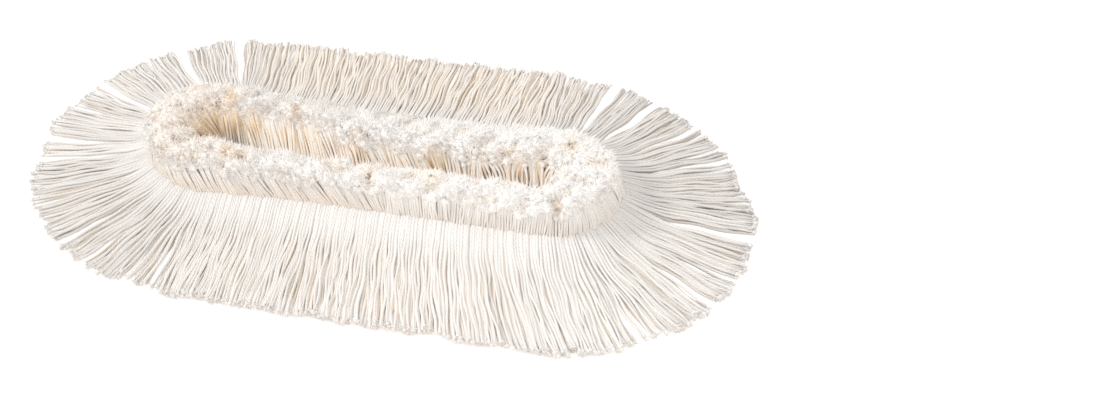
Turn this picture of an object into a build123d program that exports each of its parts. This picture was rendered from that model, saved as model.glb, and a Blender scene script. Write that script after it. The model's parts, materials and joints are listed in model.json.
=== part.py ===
from build123d import *

import os
from math import asin, cos, degrees, hypot, radians, sin, tan

# Cotton dust mop head, lying on its canvas back with the yarn side up.
# A canvas base carries two end pockets for a folding frame and is bound with a tape all round.
# A flat fringe of cut yarns is sewn along the bound edge, and a ring of short standing yarns
# is sewn on top of the base, round a narrow trough.
# Millimetres. Origin on the floor under the middle, +X along the head, +Z up.

# Canvas back
BACKING_LENGTH = 400.0  # over the binding
BACKING_WIDTH = 130.0  # over the binding, ends are half circles
CLOTH = 1.2  # canvas thickness
POCKET_GAP = 7.0  # clear height inside a pocket
MOUTH_SPACING = 120.0  # between the mouths of the two pockets
MOUTH_HEM = 10.0  # width of the hem folded into each mouth
WALL_SLOPE = 45.0  # slope of a pocket's wall, degrees

# Edge binding
BINDING_TAPE = 1.2  # tape thickness
BINDING_WIDTH = 10.0  # how far the folded tape reaches in from the edge, on the back
BINDING_TOP = 4.0  # how far it reaches in on the yarn side
BINDING_FOLD = 1.0  # bevel of the fold

# Fringe
FRINGE_LENGTH = 106.0  # yarn beyond the binding
ROOT_RADIUS = 3.0  # sewn roll that the yarns of a bundle leave from
FRINGE_DEPTH = 9.0  # height of the layer where it reaches the floor
FRINGE_TIP_DEPTH = 6.0  # height of the layer at the cut ends
FRINGE_SHOULDER = 0.16  # share of the yarn that still stands off the floor
FRINGE_LANDING = 0.45  # share of the yarn where it reaches the floor
FRINGE_CLUMP = 0.94  # width that a bundle keeps at its cut ends
FRINGE_RAGGED = 4.0  # how uneven the cut ends are
SIDE_BUNDLES = 5  # bundles along each straight side
END_BUNDLES = 5  # bundles round each end
FRINGE_STRANDS = 11  # strands in a bundle

# Standing pile
PILE_TOP = 36.0  # cut ends above the floor
PILE_TAPE = 2.0  # tape that a bundle's strands are sewn to
PILE_CLOSE = 0.72  # the ring's width at the cut ends, of its width at the root
PILE_RAGGED = 5.0  # how uneven the cut ends are
TROUGH_WIDTH = 20.0  # between the inner edges of the pile's tapes
PILE_ROOT_SHARE = 0.62  # a strand's depth at its root, of the depth of its row
SIDE_PILE_BUNDLES = 4  # bundles along each straight side
END_PILE_BUNDLES = 3  # bundles round each end
SIDE_PILE_ROWS = (8, 10)  # strands in a bundle's inner and outer row
END_PILE_ROWS = (5, 7)

# Clearances
SEAT = 0.3  # between a soft piece and its neighbour
STRAND_GAP = 0.5  # between neighbouring strands

# Levels and radii that follow. Radii are measured from the straight middle line of the head,
# or from the centre of an end.
HALF_STRAIGHT = (BACKING_LENGTH - BACKING_WIDTH) / 2
EDGE_R = BACKING_WIDTH / 2
CLOTH_R = EDGE_R - BINDING_TAPE - SEAT
LIP_R = EDGE_R - BINDING_WIDTH
BASE_Z = CLOTH + POCKET_GAP
BASE_TOP = BASE_Z + CLOTH
FLANGE_Z = BASE_Z - CLOTH
WALL_R = LIP_R - CLOTH
FLOOR_R = WALL_R - FLANGE_Z / tan(radians(WALL_SLOPE))
SEAM_R = EDGE_R + SEAT + ROOT_RADIUS
SEAM_Z = (FLANGE_Z + BASE_TOP) / 2
TIP_R = EDGE_R + FRINGE_LENGTH
PILE_OUT_R = EDGE_R - BINDING_TOP - SEAT
PILE_IN_R = TROUGH_WIDTH / 2

# Places of the four stretches of edge: local X points outwards, local Y runs along the edge
FRONT = Location((0, 0, 0), (0, 0, -90))
BACK = Location((0, 0, 0), (0, 0, 90))
RIGHT = Location((HALF_STRAIGHT, 0, 0), (0, 0, 0))
LEFT = Location((-HALF_STRAIGHT, 0, 0), (0, 0, 180))


def stadium(radius, low, high):
    """Round-ended plate of the head's plan, its edge this far from the middle line."""
    outline = SlotOverall(2 * (HALF_STRAIGHT + radius), 2 * radius)
    return extrude(Plane.XY.offset(low) * outline, high - low)


def uneven(number):
    """Share from 0 to 1 that scatters with the strand's number."""
    return 0.5 + 0.5 * sin(2.4 * number)


def base_cloth():
    """Flat canvas whose long edges are folded double between the pockets."""
    cloth = stadium(CLOTH_R, BASE_Z, BASE_TOP)
    fold_width = CLOTH_R - LIP_R
    fold_middle = (CLOTH_R + LIP_R) / 2
    fold = Box(MOUTH_SPACING - 2 * SEAT, fold_width, CLOTH)
    for side in (-1, 1):
        cloth += Pos(0, side * fold_middle, BASE_Z - CLOTH / 2) * fold
    return cloth


def edge_binding():
    """Tape folded over the edge of the base and of the pockets' flanges."""
    low = FLANGE_Z - BINDING_TAPE
    high = BASE_TOP + BINDING_TAPE
    tape = stadium(EDGE_R, low, high)
    rims = tape.edges().filter_by_position(Axis.Z, low, low) + tape.edges().filter_by_position(
        Axis.Z, high, high
    )
    tape = chamfer(rims, BINDING_FOLD)
    tape -= stadium(LIP_R, low, BASE_TOP)
    tape -= stadium(EDGE_R - BINDING_TOP, BASE_TOP, high)
    return tape - stadium(EDGE_R - BINDING_TAPE, FLANGE_Z, BASE_TOP)


def pocket_section():
    """Half section of a pocket: flat floor, sloping wall and the flange under the tape."""
    shift = CLOTH * tan(radians(WALL_SLOPE / 2))
    under = [(0, 0), (FLOOR_R, 0), (WALL_R, FLANGE_Z), (CLOTH_R, FLANGE_Z)]
    inside = [(CLOTH_R, BASE_Z), (WALL_R - shift, BASE_Z), (FLOOR_R - shift, CLOTH), (0, CLOTH)]
    return make_face(Polyline(*under, *inside, close=True))


def pocket():
    """Right pocket: half-round end, straight sides and a mouth hem folded inwards."""
    section = pocket_section()
    mouth = MOUTH_SPACING / 2
    half = Plane.XZ * section
    end = RIGHT * (Rot(0, 0, -90) * revolve(half, Axis.Z, 180))
    side = extrude(Pos(mouth, 0, 0) * (Plane.YZ * section), HALF_STRAIGHT - mouth, dir=(1, 0, 0))
    cloth = end + side + mirror(side, Plane.XZ)
    hem = Box(MOUTH_HEM, 2 * (FLOOR_R - CLOTH), CLOTH)
    fold = chamfer(hem.edges().filter_by(Axis.Y).group_by(Axis.Z)[-1], CLOTH / 2)
    return cloth + Pos(mouth + MOUTH_HEM / 2, 0, CLOTH * 1.5) * fold


def strand(sections):
    """Four-sided flat-faced strand through parallel rectangles: each a centre and two half sides."""
    rings = []
    for centre, wide, tall in sections:
        middle, wide, tall = Vector(centre), Vector(wide), Vector(tall)
        rings.append([middle - wide - tall, middle + wide - tall, middle + wide + tall, middle - wide + tall])
    faces = [Face(Wire.make_polygon(ring)) for ring in (rings[0], rings[-1])]
    for ring, following in zip(rings, rings[1:]):
        for corner in range(4):
            after = (corner + 1) % 4
            side = (ring[corner], ring[after], following[after], following[corner])
            faces.append(Face(Wire.make_polygon(side)))
    return Solid(Shell(faces))


def fringe_strand(root, tip, root_width, tip_width, number):
    """One flat strand from its root on the sewn roll, down to the floor and out to its cut end."""
    run_x = tip[0] - root[0]
    run_y = tip[1] - root[1]
    reach = hypot(run_x, run_y)
    length = reach - FRINGE_RAGGED * uneven(number)
    across = Vector(-run_y / reach, run_x / reach, 0)
    lift = STRAND_GAP * 2 * uneven(number + 1)
    root_half = ROOT_RADIUS * 0.7
    shoulder_low = (SEAM_Z - root_half) * (1 - FRINGE_SHOULDER / FRINGE_LANDING)
    stations = (
        (-ROOT_RADIUS / 3 / reach, SEAM_Z - root_half, SEAM_Z + root_half),
        (FRINGE_SHOULDER, shoulder_low, SEAM_Z + root_half + lift),
        (FRINGE_LANDING, 0.0, FRINGE_DEPTH - lift),
        (length / reach, 0.0, FRINGE_TIP_DEPTH - lift),
    )
    sections = []
    for share, low, high in stations:
        width = root_width + (tip_width - root_width) * share
        centre = (root[0] + run_x * share, root[1] + run_y * share, (low + high) / 2)
        sections.append((centre, across * (width / 2), (0, 0, (high - low) / 2)))
    return strand(sections)


def fringe_bundle(root_width, fan):
    """Bundle of yarns on a straight sewn roll; fan is the angle that it covers, 0 on a side."""
    half_round = CenterArc((0, 0), ROOT_RADIUS, 90, 180)
    outline = make_face(half_round + Line(half_round @ 1, half_round @ 0))
    roll = Pos(SEAM_R, 0, SEAM_Z) * extrude(Plane.XZ * outline, root_width / 2, both=True)
    spread = radians(fan / 2) * FRINGE_CLUMP
    pitch = root_width / FRINGE_STRANDS
    outer = 2 * TIP_R * spread if fan else root_width * FRINGE_CLUMP
    root_strand = pitch - STRAND_GAP
    tip_strand = outer / FRINGE_STRANDS - 2 * STRAND_GAP
    strands = []
    for number in range(FRINGE_STRANDS):
        share = (2 * number + 1) / FRINGE_STRANDS - 1
        root = (SEAM_R, share * root_width / 2)
        if fan:
            tip = (TIP_R * cos(share * spread), TIP_R * sin(share * spread))
        else:
            tip = (TIP_R, share * outer / 2)
        strands.append(fringe_strand(root, tip, root_strand, tip_strand, number))
    return roll.fuse(*strands)


def pile_radius(radius):
    """Where a strand that is rooted at this radius has its cut end: the ring narrows and the trough opens."""
    middle = (PILE_OUT_R + PILE_IN_R) / 2
    return middle + PILE_CLOSE * (radius - middle)


def pile_strand(radius, depth, width, number):
    """One standing strand that splays towards its fluffy cut end and leans to the middle of the ring."""
    foot = BASE_TOP + PILE_TAPE / 2
    top = PILE_TOP - PILE_RAGGED * uneven(number)
    waist = (foot + top) / 2
    lean = radius - pile_radius(radius)
    splay = (1 + PILE_ROOT_SHARE) / 2
    stations = (
        (foot, radius, depth * PILE_ROOT_SHARE, width * PILE_ROOT_SHARE),
        (waist, radius - lean / 4, depth * splay, width * splay),
        (top, radius - lean, depth, width),
    )
    return strand([((r, 0, z), (deep / 2, 0, 0), (0, wide / 2, 0)) for z, r, deep, wide in stations])


def pile_bundle(length, fan, rows):
    """Slice of the pile's tape with an inner and an outer row of standing strands."""
    row_depth = (PILE_OUT_R - PILE_IN_R) / len(rows)
    middle = (PILE_OUT_R + PILE_IN_R) / 2
    tape_z = BASE_TOP + PILE_TAPE / 2
    if fan:
        turn = fan - 2 * degrees(asin(SEAT / 2 / PILE_IN_R))
        outline = Pos(middle, 0, tape_z) * (Rot(90, 0, 0) * Rectangle(PILE_OUT_R - PILE_IN_R, PILE_TAPE))
        tape = Rot(0, 0, -turn / 2) * revolve(outline, Axis.Z, turn)
    else:
        tape = Pos(middle, 0, tape_z) * Box(PILE_OUT_R - PILE_IN_R, length - SEAT, PILE_TAPE)
    strands = []
    for row, count in enumerate(rows):
        radius = PILE_IN_R + (row + 0.5) * row_depth
        depth = row_depth * PILE_CLOSE - STRAND_GAP
        tightest = pile_radius(radius) - depth / 2
        for number in range(count):
            share = (2 * number + 1) / count - 1
            if fan:
                place = Rot(0, 0, share * fan / 2)
                pitch = 2 * tightest * tan(radians(fan / count / 2))
            else:
                place = Pos(0, share * length / 2, 0)
                pitch = length / count
            strands.append(place * pile_strand(radius, depth, pitch - STRAND_GAP, number + 3 * row))
    return tape.fuse(*strands)


def model():
    """Every node of the mop head, by name."""
    right_pocket = pocket()
    nodes = {
        "base_cloth": base_cloth(),
        "edge_binding": edge_binding(),
        "right_pocket": right_pocket,
        "left_pocket": mirror(right_pocket, Plane.YZ),
    }
    side_step = 2 * HALF_STRAIGHT / SIDE_BUNDLES
    end_step = 180 / END_BUNDLES
    end_root = 2 * (SEAM_R - ROOT_RADIUS) * tan(radians(end_step / 2)) - 2 * STRAND_GAP
    side_bundle = fringe_bundle(side_step - SEAT, 0)
    end_bundle = fringe_bundle(end_root, end_step)
    for name, place in (("front", FRONT), ("back", BACK)):
        for number in range(SIDE_BUNDLES):
            along = (number - (SIDE_BUNDLES - 1) / 2) * side_step
            nodes[f"{name}_fringe_{number + 1}"] = place * (Pos(0, along, 0) * side_bundle)
    for name, place in (("right", RIGHT), ("left", LEFT)):
        for number in range(END_BUNDLES):
            turn = (number - (END_BUNDLES - 1) / 2) * end_step
            nodes[f"{name}_fringe_{number + 1}"] = place * (Rot(0, 0, turn) * end_bundle)
    side_pile = pile_bundle(2 * HALF_STRAIGHT / SIDE_PILE_BUNDLES, 0, SIDE_PILE_ROWS)
    end_pile = pile_bundle(0, 180 / END_PILE_BUNDLES, END_PILE_ROWS)
    for name, place in (("front", FRONT), ("back", BACK)):
        for number in range(SIDE_PILE_BUNDLES):
            along = (number - (SIDE_PILE_BUNDLES - 1) / 2) * 2 * HALF_STRAIGHT / SIDE_PILE_BUNDLES
            nodes[f"{name}_pile_{number + 1}"] = place * (Pos(0, along, 0) * side_pile)
    for name, place in (("right", RIGHT), ("left", LEFT)):
        for number in range(END_PILE_BUNDLES):
            turn = (number - (END_PILE_BUNDLES - 1) / 2) * 180 / END_PILE_BUNDLES
            nodes[f"{name}_pile_{number + 1}"] = place * (Rot(0, 0, turn) * end_pile)
    return nodes


os.makedirs("parts", exist_ok=True)
for node, shape in model().items():
    export_step(shape, f"parts/{node}.step")
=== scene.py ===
"""Cotton dust mop head: its yarns, cloth back, sewing thread and stage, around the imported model."""

import json
import math
from functools import partial

import bmesh
import bpy
import numpy as np
from bpy.props import FloatProperty, FloatVectorProperty, IntProperty, PointerProperty
from mathutils import Matrix, Vector

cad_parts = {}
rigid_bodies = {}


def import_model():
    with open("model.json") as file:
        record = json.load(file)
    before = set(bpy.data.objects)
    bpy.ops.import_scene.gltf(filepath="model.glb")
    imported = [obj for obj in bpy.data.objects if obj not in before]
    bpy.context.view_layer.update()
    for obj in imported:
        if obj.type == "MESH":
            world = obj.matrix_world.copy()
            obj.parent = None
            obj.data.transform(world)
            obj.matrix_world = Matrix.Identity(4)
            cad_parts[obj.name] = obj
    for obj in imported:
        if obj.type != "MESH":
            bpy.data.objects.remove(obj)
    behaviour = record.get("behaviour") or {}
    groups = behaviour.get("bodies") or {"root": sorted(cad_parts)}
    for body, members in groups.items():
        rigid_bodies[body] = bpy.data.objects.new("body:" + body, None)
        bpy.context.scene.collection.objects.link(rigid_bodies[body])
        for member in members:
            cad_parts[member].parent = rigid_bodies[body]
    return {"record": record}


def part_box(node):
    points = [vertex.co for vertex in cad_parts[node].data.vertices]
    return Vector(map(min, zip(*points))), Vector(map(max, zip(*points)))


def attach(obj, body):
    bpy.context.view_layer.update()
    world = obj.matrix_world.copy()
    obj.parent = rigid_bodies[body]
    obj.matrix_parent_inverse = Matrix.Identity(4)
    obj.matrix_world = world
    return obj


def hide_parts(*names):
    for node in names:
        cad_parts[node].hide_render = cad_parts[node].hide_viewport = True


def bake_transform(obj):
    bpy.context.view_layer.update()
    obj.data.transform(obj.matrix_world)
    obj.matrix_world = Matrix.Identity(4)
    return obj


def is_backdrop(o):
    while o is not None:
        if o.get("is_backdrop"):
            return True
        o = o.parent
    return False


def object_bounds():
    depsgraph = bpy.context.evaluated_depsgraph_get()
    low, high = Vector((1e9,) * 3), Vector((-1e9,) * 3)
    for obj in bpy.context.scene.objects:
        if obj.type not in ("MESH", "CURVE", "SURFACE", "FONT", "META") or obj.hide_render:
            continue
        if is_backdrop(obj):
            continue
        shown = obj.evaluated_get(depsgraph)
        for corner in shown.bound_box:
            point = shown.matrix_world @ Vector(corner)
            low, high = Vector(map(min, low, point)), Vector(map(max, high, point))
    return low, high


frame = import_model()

bl_info = {
    "name": "Cotton dust mop head",
    "version": (1, 0, 0),
    "blender": (4, 5, 0),
    "location": "3D View > Sidebar > Mop head",
    "description": "Makes the yarns, cloth and stitching of a round-ended dust mop head",
    "category": "Add Mesh",
}

MM = 0.001
TURN = 2 * math.pi

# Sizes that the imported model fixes. Radii are from the straight middle line, or from an end's centre.
CAD_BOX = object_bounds()
EDGE_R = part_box("edge_binding")[1].y
HALF_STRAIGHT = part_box("edge_binding")[1].x - EDGE_R
BINDING_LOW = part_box("edge_binding")[0].z
BINDING_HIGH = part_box("edge_binding")[1].z
CLOTH_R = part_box("base_cloth")[1].y
BASE_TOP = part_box("base_cloth")[1].z
CLOTH = 1.2 * MM
BASE_LOW = BASE_TOP - CLOTH
MOUTH_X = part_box("right_pocket")[0].x
TIP_R = -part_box("front_fringe_3")[0].y
PILE_OUTER = -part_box("front_pile_1")[0].y - 0.5 * MM
PILE_INNER = -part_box("front_pile_1")[1].y - 8.9 * MM
PILE_MIDDLE = (PILE_OUTER + PILE_INNER) / 2
PILE_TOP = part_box("front_pile_1")[1].z
ARC_HALF = math.pi * EDGE_R / 2
PERIMETER = 4 * (HALF_STRAIGHT + ARC_HALF)
FLOOR_GAP = 0.2 * MM
WELD = 1e-6

# The four stretches of edge, anticlockwise from above: the way each faces, whether it is a round end,
# where its middle lies along the whole edge, and its numbers of fringe and pile bundles, whose columns follow
STRETCHES = {
    "front": (-90, False, 0.0, 5, 4),
    "right": (0, True, HALF_STRAIGHT + ARC_HALF, 5, 3),
    "back": (90, False, 2 * (HALF_STRAIGHT + ARC_HALF), 5, 4),
    "left": (180, True, 3 * (HALF_STRAIGHT + ARC_HALF), 5, 3),
}
FRINGE_BUNDLES, PILE_BUNDLES = 3, 4

# Where the seeds of the two kinds of yarn begin
FRINGE_SEED, PILE_SEED = 100, 500

# Waves that make up a smooth random value along the edge: pace and weight of each
WAVES = ((0.6, 0.6), (1.0, 1.0), (1.45, 0.7), (2.1, 0.45))
WAVE_SCALE = 1.9

# The fringe by stretch: unevenness of the roots in mm, mingling of the layers, raggedness of the tips,
# share of the layers' depth at the root, and how far the yarns gather in clumps
FRINGE_WAYS = {
    "front": (0.3, 0.3, 1.0, 0.3, 0.25),
    "right": (0.3, 0.3, 1.9, 0.8, 0.3),
    "back": (0.5, 0.12, 1.9, 1.0, 0.9),
    "left": (0.3, 0.3, 1.9, 0.3, 0.3),
}

# Slits in the fringe at the ends: angle from the end's own direction in degrees, width at the tips in mm
PARTINGS = {
    "left": ((16, 9), (7, 13), (-12.5, 6), (-22, 10), (-53, 11), (-76, 12), (37, 5)),
    "right": ((-9, 12), (-28.5, 9), (-36.5, 8), (24, 6), (40, 6), (57, 13), (72, 9)),
}

# How far the fringe has been brushed sideways: place along the whole edge and shift of the tips
LEANS = np.array((
    (-135, 0), (-100, 0), (-60, 4), (-20, 9), (20, 13), (60, 17), (85, 24), (105, 29), (125, 30), (135, 29),
    (141, 20), (146, 12), (158, 4), (169, 0), (305, 0), (317, -4), (328, -10), (339, -16), (374, -19),
    (414, -18), (454, -8), (494, -1), (534, 7), (574, 12), (609, 10), (626, 5), (643, 0), (814, 0),
)) * MM

# Painted shade on the fringe: place along the whole edge in mm, painted warm shade on the top layer, how fast
# that tint fades upwards from the bottom layer, painted shade of the top layer (low at the right end for the
# ring's shadow and at the left end for its weaker light), and how much darker the bottom layer is painted, as
# shade between the yarns
TONES = np.array((
    (0, 0.08, 1, 1, 0.03),
    (90, 0.08, 1, 1, 0.03),
    (160, 0.05, 3, 1, 0.06),
    (237, 0.06, 2.5, 0.89, 0.2),
    (315, 0.08, 2.5, 0.91, 0.17),
    (365, 0.35, 1, 1, 0.14),
    (583, 0.35, 1, 1, 0.14),
    (640, 0.06, 3, 0.95, 0.06),
    (785, 0.06, 3, 0.95, 0.06),
    (848, 0.08, 1, 1, 0.03),
))

# Rows of standing yarn, as shares of the way from the ring's outer face to its inner face, and the shares
# before and after which a row shows from outside
PILE_ROWS = (0.0, 0.035, 0.08, 0.125, 0.17, 0.215, 0.26, 0.305, 0.35, 0.40, 0.45, 0.50, 0.58, 0.66, 0.74,
             0.82, 0.90, 0.95, 1.0)
OUTER_ROWS, INNER_ROWS = 0.1, 0.88

# Hollows where the cut ends of the ring part and sink, painted warmer there as shade: place in mm and depth
HOLLOWS = (
    (-140, 29, 1.0), (-121, -42, 0.7), (-108, -44, 0.8), (-80, 26, 0.7), (-33, -42, 0.4), (-1, -46, 0.6),
    (46, -41, 0.5), (91, -59, 0.4), (100, 5, 0.5), (132, 10, 0.4), (147, -53, 0.7), (154, 21, 0.8),
    (173, 4, 0.6),
)

# How the standing ring has been pushed over in use: place along the head, shift of the inner roots across
# it, shift of the cut ends along it, and their shifts across it at the back face, at the back and the front
# of the trough, and at the front face
PUSHED = np.array((
    (-215, -4, -9, 0, 0, -5, 2),
    (-170, -7, -10, -7, 0, -9, 1),
    (-120, -10, -13, -9, 1, -10, 0),
    (-60, -14, -15, -13, 0, -13, -2),
    (-10, -17, -14, -20, -16, -16, -4),
    (45, -18, -10, -20, -20, -11, -5),
    (100, -15, -6, -17, -17, -15, -5),
    (140, -8, -5, -10, -11, -14, -4),
    (215, 0, 0, 0, -4, -4, 0),
)) * MM


# Nodes and meshes

def add(tree, kind, inputs=None, **settings):
    """One node with its settings; each input is a value or another node's output."""
    node = tree.nodes.new(kind)
    for key, value in settings.items():
        setattr(node, key, value)
    for key, value in (inputs or {}).items():
        if isinstance(value, bpy.types.NodeSocket):
            tree.links.new(value, node.inputs[key])
        else:
            node.inputs[key].default_value = value
    return node


def output(tree, kind, inputs=None, **settings):
    """First output of one new node."""
    return add(tree, kind, inputs, **settings).outputs[0]


def maths(tree, operation, *values):
    """Output of one Math node, for shaders and geometry alike."""
    return output(tree, "ShaderNodeMath", dict(enumerate(values)), operation=operation)


def node_group(name, kind, inputs, outputs):
    """Empty node group with named sockets; gives the tree and its input and output sockets."""
    tree = bpy.data.node_groups.new(name, kind)
    for way, sockets in (("INPUT", inputs), ("OUTPUT", outputs)):
        for label, value, *default in sockets:
            made = tree.interface.new_socket(name=label, in_out=way, socket_type="NodeSocket" + value)
            if default:
                made.default_value = default[0]
    return tree, add(tree, "NodeGroupInput").outputs, add(tree, "NodeGroupOutput").inputs


def realized(tree, geometry, material):
    """Instances made real, with their material."""
    real = output(tree, "GeometryNodeRealizeInstances", {"Geometry": geometry})
    return output(tree, "GeometryNodeSetMaterial", {"Geometry": real, "Material": material})


def new_object(name, mesh):
    """Object for a mesh, linked to the scene."""
    mesh.name = name
    obj = bpy.data.objects.new(name, mesh)
    bpy.context.scene.collection.objects.link(obj)
    return obj


def plain_mesh(obj, name):
    """New object with the evaluated mesh of obj, which is removed with its modifiers."""
    bpy.context.view_layer.update()
    evaluated = obj.evaluated_get(bpy.context.evaluated_depsgraph_get())
    made = new_object(name, bpy.data.meshes.new_from_object(evaluated))
    bpy.data.objects.remove(obj)
    return made


def grown_by_nodes(guide, tree, inputs, name):
    """Plain mesh that geometry nodes make from a guide; inputs are set by their sockets' identifiers."""
    modifier = guide.modifiers.new(tree.name, "NODES")
    modifier.node_group = tree
    sockets = {item.name: item.identifier for item in tree.interface.items_tree if item.in_out == "INPUT"}
    for key, value in inputs.items():
        modifier[sockets[key]] = value
    return plain_mesh(guide, name)


def finished_mesh(bm, name):
    """Mesh of a bmesh with its faces turned outwards."""
    bmesh.ops.recalc_face_normals(bm, faces=bm.faces)
    mesh = bpy.data.meshes.new(name)
    bm.to_mesh(mesh)
    bm.free()
    return mesh


# Places and chance

def drift(place, wavelength, seed):
    """Smooth random value, about -1 to 1, along the edge, its wavelength in mm; it closes round the head."""
    phases = np.random.default_rng(seed).uniform(0, TURN, len(WAVES))
    total = 0.0
    for phase, (pace, weight) in zip(phases, WAVES):
        turns = max(1, round(PERIMETER / (wavelength * MM) * pace))
        total = total + weight * np.sin(TURN * turns * np.asarray(place) / PERIMETER + phase)
    return total / WAVE_SCALE


def wander(place, size, wavelength, seed):
    """Smooth random distance along the edge, its size and wavelength in mm."""
    return size * MM * drift(place, wavelength, seed)


def unevenness(points, wavelength, seed):
    """Smooth random value, about -1 to 1, over the plan."""
    rng = np.random.default_rng(seed)
    total = 0.0
    for turn, phase, pace in rng.uniform((0, 0, 0.7), (TURN, TURN, 1.5), (9, 3)):
        across = points[:, 0] * math.cos(turn) + points[:, 1] * math.sin(turn)
        total = total + np.sin(TURN * pace * across / wavelength + phase)
    return total / 3


def ease(value, low, high):
    """0 below low, 1 above high, smooth between."""
    share = np.clip((np.asarray(value) - low) / (high - low), 0, 1)
    return share * share * (3 - 2 * share)


def half_length(stretch):
    """Half the length of a stretch, measured along the bound edge."""
    return ARC_HALF if STRETCHES[stretch][1] else HALF_STRAIGHT


def facing(stretch):
    """Cosine and sine of the way a stretch faces."""
    turn = math.radians(STRETCHES[stretch][0])
    return math.cos(turn), math.sin(turn)


def on_edge(stretch, along, out, height):
    """Points by their place along a stretch, their distance out from the middle line and their height."""
    cosine, sine = facing(stretch)
    local_x, local_y, centre = out, along, 0.0
    if STRETCHES[stretch][1]:
        local_x = out * np.cos(along / EDGE_R)
        local_y = out * np.sin(along / EDGE_R)
        centre = HALF_STRAIGHT * cosine
    x = centre + local_x * cosine - local_y * sine
    y = local_x * sine + local_y * cosine
    return np.stack([x, y, height], -1)


def along_shift(stretch, sideways, out):
    """A sideways distance at this distance out, as a distance along the bound edge."""
    return sideways * EDGE_R / out if STRETCHES[stretch][1] else sideways


# Yarn

def ply_end(name, plies, splay, core, seed):
    """Template of a cut yarn end, one unit long: thin plies that have come untwisted round a soft core."""
    rng = np.random.default_rng(seed)
    up = Vector((0, 0, 1))
    bm = bmesh.new()
    bmesh.ops.create_icosphere(bm, subdivisions=1, radius=core)
    for vert in bm.verts:
        vert.co = vert.co * rng.uniform(0.7, 1.3) + up * 0.15
    for face in bm.faces:
        face.smooth = True
    for number in range(plies):
        turn = 2.4 * number + rng.uniform(-0.4, 0.4)
        lean = splay * math.sqrt((number + 0.5) / plies)
        reach = rng.uniform(0.75, 1.25)
        thick = rng.uniform(0.05, 0.10)
        outward = Vector((math.cos(turn), math.sin(turn), 0))
        foot = (outward * math.sin(0.8 * lean) + up * math.cos(0.8 * lean)) * reach * 0.4
        point = (outward * math.sin(1.1 * lean) + up * math.cos(1.1 * lean)) * reach
        across = (outward * math.cos(lean) - up * math.sin(lean)) * thick
        round_it = Vector((-outward.y, outward.x, 0)) * thick
        corners = (across, round_it * 0.87 - across * 0.5, round_it * -0.87 - across * 0.5)
        ring = [bm.verts.new(foot + corner) for corner in corners]
        apex = bm.verts.new(point)
        bm.faces.new(ring)
        for side in range(3):
            bm.faces.new((ring[side], ring[(side + 1) % 3], apex))
    yarn_map = bm.loops.layers.uv.new("yarn")
    for face in bm.faces:
        for loop in face.loops:
            loop[yarn_map].uv = (0.0, 1 / 8)
    # Painted warm shade on the lower part of a fluffy end, where shade falls under it
    depth = bm.verts.layers.float.new("depth")
    for vert in bm.verts:
        vert[depth] = 0.22 * (1 - float(ease(vert.co.z, -0.3, 0.4))) if core > 0.35 else 0.0
    return bpy.data.objects.new(name, finished_mesh(bm, name))


def yarn_tree():
    """Geometry nodes that sweep guide lines into yarns and put a frayed end on each."""
    tree, given, out = node_group(
        "Plied yarn", "GeometryNodeTree",
        (("Guides", "Geometry"), ("Yarn radius", "Float"), ("Sides", "Int"), ("Cut ends", "Collection"),
         ("End size", "Float"), ("Seed", "Int"), ("Material", "Material")),
        (("Yarns", "Geometry"),),
    )
    node = partial(output, tree)

    def named(name):
        return node("GeometryNodeInputNamedAttribute", {"Name": name}, data_type="FLOAT")

    def stored(geometry, name, value, kind, domain):
        return node("GeometryNodeStoreNamedAttribute", {"Geometry": geometry, "Name": name, "Value": value},
                    data_type=kind, domain=domain)

    def chance(kind, inputs):
        return add(tree, "FunctionNodeRandomValue", {**inputs, "Seed": given["Seed"]}, data_type=kind).outputs

    curve = node("GeometryNodeMeshToCurve", {"Mesh": given["Guides"]})
    corners = maths(tree, "ADD", given["Sides"], 1.0)
    circle = {"Resolution": corners, "Radius": 1.0, "Sweep Angle": TURN}
    profile = node("GeometryNodeCurveArc", circle, mode="RADIUS")
    around = add(tree, "GeometryNodeSplineParameter").outputs["Factor"]
    profile = stored(profile, "around", around, "FLOAT", "POINT")
    thick = maths(tree, "MULTIPLY", named("girth"), given["Yarn radius"])
    swept = node("GeometryNodeCurveToMesh", {"Curve": curve, "Profile Curve": profile, "Scale": thick})
    place = node("ShaderNodeCombineXYZ", {0: named("along"), 1: named("around")})
    swept = stored(swept, "yarn", place, "FLOAT2", "CORNER")
    swept = node("GeometryNodeMergeByDistance", {"Geometry": swept, "Distance": WELD})
    swept = node("GeometryNodeSetShadeSmooth", {"Geometry": swept})

    ends = node("GeometryNodeCollectionInfo",
                {"Collection": given["Cut ends"], "Separate Children": True, "Reset Children": True})
    tangent = node("GeometryNodeInputTangent")
    upright = node("FunctionNodeAlignRotationToVector", {"Vector": tangent}, axis="Z")
    spin = chance("FLOAT", {2: 0.0, 3: TURN})[1]
    about = node("FunctionNodeAxisAngleToRotation", {"Axis": (0, 0, 1), "Angle": spin})
    swell = chance("FLOAT", {2: 0.75, 3: 1.25})[1]
    scattered = node("GeometryNodeInstanceOnPoints", {
        "Points": curve,
        "Selection": node("GeometryNodeCurveEndpointSelection", {"Start Size": 0, "End Size": 1}),
        "Instance": ends,
        "Pick Instance": True,
        "Instance Index": chance("INT", {4: 0, 5: 2})[2],
        "Rotation": node("FunctionNodeRotateRotation", {"Rotation": upright, "Rotate By": about},
                         rotation_space="LOCAL"),
        "Scale": maths(tree, "MULTIPLY", swell, given["End size"]),
    })
    joined = add(tree, "GeometryNodeJoinGeometry")
    for part in (scattered, swept):
        tree.links.new(part, joined.inputs[0])
    tree.links.new(realized(tree, joined.outputs[0], given["Material"]), out["Yarns"])
    return tree


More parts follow.
